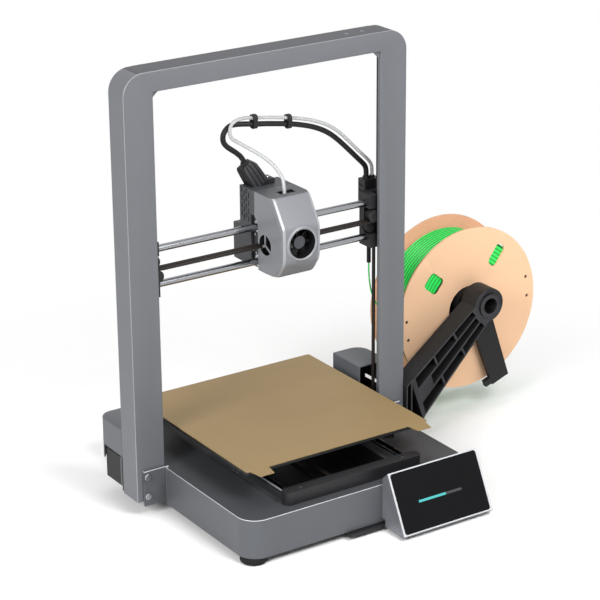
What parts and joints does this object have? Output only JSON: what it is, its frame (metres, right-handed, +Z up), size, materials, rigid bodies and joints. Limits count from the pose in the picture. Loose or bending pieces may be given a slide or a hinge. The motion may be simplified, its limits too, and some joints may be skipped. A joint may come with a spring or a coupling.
{
  "type": "fdm_printer",
  "caption": "Desktop filament 3-D printer with a one-piece grey portal, moving bed, belt-driven gantry, tilted screen and a side-mounted card spool of green filament.",
  "frame": {"origin": "On the desk plane, under the middle of the portal's front face", "axes": "+X to the right seen from the front, +Y to the back, +Z up"},
  "size_m": [0.575, 0.365, 0.496],
  "materials": {
    "portal_paint": "satin metallic grey coat",
    "base_paint": "satin metallic grey coat",
    "cover_grey": "moulded, fine grain",
    "shroud_silver": "metallic silver, satin",
    "dark_plastic": "moulded, fine grain",
    "black_plastic": "moulded, fine grain",
    "rod_chrome": "ground and hard chromed",
    "bearing_steel": "turned",
    "pulley_alloy": "turned",
    "sink_alloy": "turned",
    "belt_rubber": "toothed, matt",
    "foot_rubber": "matt",
    "clamp_alloy": "black anodised",
    "plate_coat": "textured powder coat",
    "heater_black": "black coated",
    "motor_black": "satin black",
    "housing_silver": "metallic silver, satin",
    "display_glass": "dark, glossy",
    "nozzle_brass": "turned",
    "spool_card": "matt kraft card",
    "filament_green": "glossy",
    "tube_white": "waxy",
    "cable_black": "satin jacket",
    "screw_steel": "bright",
    "case_steel": "zinc plated sheet"
  },
  "bodies": {
    "base": {"base_shell": "base_paint", "base_cover": "dark_plastic", "feet": "foot_rubber", "wing_screws": "screw_steel", "portal_frame": "portal_paint", "z_rods": "rod_chrome", "z_rod_clamps": "clamp_alloy", "stepper_motors": "motor_black", "motor_covers": "cover_grey", "drive_belts": "belt_rubber", "y_rods": "rod_chrome", "y_rod_ends": "clamp_alloy", "y_belt": "belt_rubber", "screen_housing": "housing_silver", "screen_glass": "display_glass", "spool_arm": "dark_plastic", "spool_rod": "dark_plastic", "power_inlet": "black_plastic", "electronics": "case_steel"},
    "bed": {"flex_plate": "plate_coat", "heated_bed": "heater_black", "bed_carriage": "clamp_alloy", "y_bearings": "bearing_steel", "bed_spacers": "black_plastic"},
    "gantry": {"x_rods": "rod_chrome", "x_end_left": "black_plastic", "x_end_right": "black_plastic", "x_belts": "belt_rubber", "filament_sensor": "black_plastic", "filament_strand": "filament_green"},
    "head": {"head_shroud": "shroud_silver", "head_rear_cover": "dark_plastic", "head_carriage": "black_plastic", "x_bearings": "bearing_steel", "extruder_motor": "motor_black", "hotend": "sink_alloy", "nozzle": "nozzle_brass", "fan_frame": "black_plastic", "cable_plug": "black_plastic", "harness_cable": "cable_black", "feed_tube": "tube_white", "cable_clips": "black_plastic"},
    "fan": {"fan_rotor": "black_plastic"},
    "feeder": {"feed_gear": "bearing_steel"},
    "spool": {"spool": "spool_card", "winding_core": "filament_green", "filament_winding": "filament_green"},
    "switch": {"power_switch": "black_plastic"},
    "motor_pulley_left": {"motor_pulley_left": "pulley_alloy"},
    "motor_pulley_right": {"motor_pulley_right": "pulley_alloy"},
    "top_idler_left_outer": {"top_idler_left_outer": "pulley_alloy"},
    "top_idler_left_inner": {"top_idler_left_inner": "pulley_alloy"},
    "top_idler_right_outer": {"top_idler_right_outer": "pulley_alloy"},
    "top_idler_right_inner": {"top_idler_right_inner": "pulley_alloy"},
    "x_idler_left_lower": {"x_idler_left_lower": "pulley_alloy"},
    "x_idler_left_upper": {"x_idler_left_upper": "pulley_alloy"},
    "x_idler_right_lower": {"x_idler_right_lower": "pulley_alloy"},
    "x_idler_right_upper": {"x_idler_right_upper": "pulley_alloy"},
    "y_pulley": {"y_pulley": "pulley_alloy"},
    "y_idler": {"y_idler": "pulley_alloy"}
  },
  "joints": [
    {"name": "bed_y", "type": "slide", "parent": "base", "child": "bed", "axis": [0, 1, 0], "range_m": [-0.105, 0.112], "deforming": ["y_belt"]},
    {"name": "gantry_z", "type": "slide", "parent": "base", "child": "gantry", "axis": [0, 0, 1], "range_m": [-0.156, 0.094], "deforming": ["drive_belts", "filament_strand"]},
    {"name": "head_x", "type": "slide", "parent": "gantry", "child": "head", "axis": [1, 0, 0], "range_m": [-0.123, 0.091], "deforming": ["x_belts", "harness_cable", "feed_tube", "cable_clips"]},
    {"name": "fan_spin", "type": "hinge", "parent": "head", "child": "fan", "pos_m": [0.016, -0.025, 0.288], "axis": [0, 1, 0], "continuous": true},
    {"name": "feed_spin", "type": "hinge", "parent": "head", "child": "feeder", "pos_m": [0.00863, 0, 0.318], "axis": [0, 1, 0], "continuous": true},
    {"name": "spool_spin", "type": "hinge", "parent": "base", "child": "spool", "pos_m": [0.297, 0.064, 0.1308], "axis": [0, 1, 0], "continuous": true},
    {"name": "switch_rock", "type": "hinge", "parent": "base", "child": "switch", "pos_m": [-0.099, 0.15, 0.042], "axis": [0, 0, 1], "range_deg": [-16, 0]},
    {"name": "motor_pulley_left_spin", "type": "hinge", "parent": "base", "child": "motor_pulley_left", "pos_m": [-0.154, 0.01, 0.04], "axis": [0, 1, 0], "range_deg": [-1290, 1290]},
    {"name": "motor_pulley_right_spin", "type": "hinge", "parent": "base", "child": "motor_pulley_right", "pos_m": [0.154, 0.0174, 0.04], "axis": [0, 1, 0], "range_deg": [-1290, 1290]},
    {"name": "top_idler_left_outer_spin", "type": "hinge", "parent": "base", "child": "top_idler_left_outer", "pos_m": [-0.154, 0.01, 0.482], "axis": [0, 1, 0], "range_deg": [-1290, 1290]},
    {"name": "top_idler_left_inner_spin", "type": "hinge", "parent": "base", "child": "top_idler_left_inner", "pos_m": [-0.14, 0.0174, 0.482], "axis": [0, 1, 0], "range_deg": [-1290, 1290]},
    {"name": "top_idler_right_outer_spin", "type": "hinge", "parent": "base", "child": "top_idler_right_outer", "pos_m": [0.154, 0.0174, 0.482], "axis": [0, 1, 0], "range_deg": [-1290, 1290]},
    {"name": "top_idler_right_inner_spin", "type": "hinge", "parent": "base", "child": "top_idler_right_inner", "pos_m": [0.14, 0.01, 0.482], "axis": [0, 1, 0], "range_deg": [-1290, 1290]},
    {"name": "x_idler_left_lower_spin", "type": "hinge", "parent": "gantry", "child": "x_idler_left_lower", "pos_m": [-0.14, 0.01, 0.27], "axis": [0, 1, 0], "range_deg": [-1020, 1020]},
    {"name": "x_idler_left_upper_spin", "type": "hinge", "parent": "gantry", "child": "x_idler_left_upper", "pos_m": [-0.14, 0.0174, 0.284], "axis": [0, 1, 0], "range_deg": [-1020, 1020]},
    {"name": "x_idler_right_lower_spin", "type": "hinge", "parent": "gantry", "child": "x_idler_right_lower", "pos_m": [0.14, 0.0174, 0.27], "axis": [0, 1, 0], "range_deg": [-1020, 1020]},
    {"name": "x_idler_right_upper_spin", "type": "hinge", "parent": "gantry", "child": "x_idler_right_upper", "pos_m": [0.14, 0.01, 0.284], "axis": [0, 1, 0], "range_deg": [-1020, 1020]},
    {"name": "y_pulley_spin", "type": "hinge", "parent": "base", "child": "y_pulley", "pos_m": [0, 0.126, 0.03935], "axis": [1, 0, 0], "range_deg": [-930, 930]},
    {"name": "y_idler_spin", "type": "hinge", "parent": "base", "child": "y_idler", "pos_m": [0, -0.134, 0.03935], "axis": [1, 0, 0], "range_deg": [-930, 930]}
  ],
  "couplings": [
    {"joint": "motor_pulley_left_spin", "follows": "gantry_z", "rad_per_m": -142.86},
    {"joint": "motor_pulley_right_spin", "follows": "gantry_z", "rad_per_m": 142.86},
    {"joint": "top_idler_left_outer_spin", "follows": "gantry_z", "rad_per_m": -142.86},
    {"joint": "top_idler_left_inner_spin", "follows": "gantry_z", "rad_per_m": 142.86},
    {"joint": "top_idler_right_outer_spin", "follows": "gantry_z", "rad_per_m": 142.86},
    {"joint": "top_idler_right_inner_spin", "follows": "gantry_z", "rad_per_m": -142.86},
    {"joint": "x_idler_left_lower_spin", "follows": "head_x", "rad_per_m": 142.86},
    {"joint": "x_idler_left_upper_spin", "follows": "head_x", "rad_per_m": -142.86},
    {"joint": "x_idler_right_lower_spin", "follows": "head_x", "rad_per_m": 142.86},
    {"joint": "x_idler_right_upper_spin", "follows": "head_x", "rad_per_m": -142.86},
    {"joint": "y_pulley_spin", "follows": "bed_y", "rad_per_m": -142.86},
    {"joint": "y_idler_spin", "follows": "bed_y", "rad_per_m": -142.86}
  ]
}
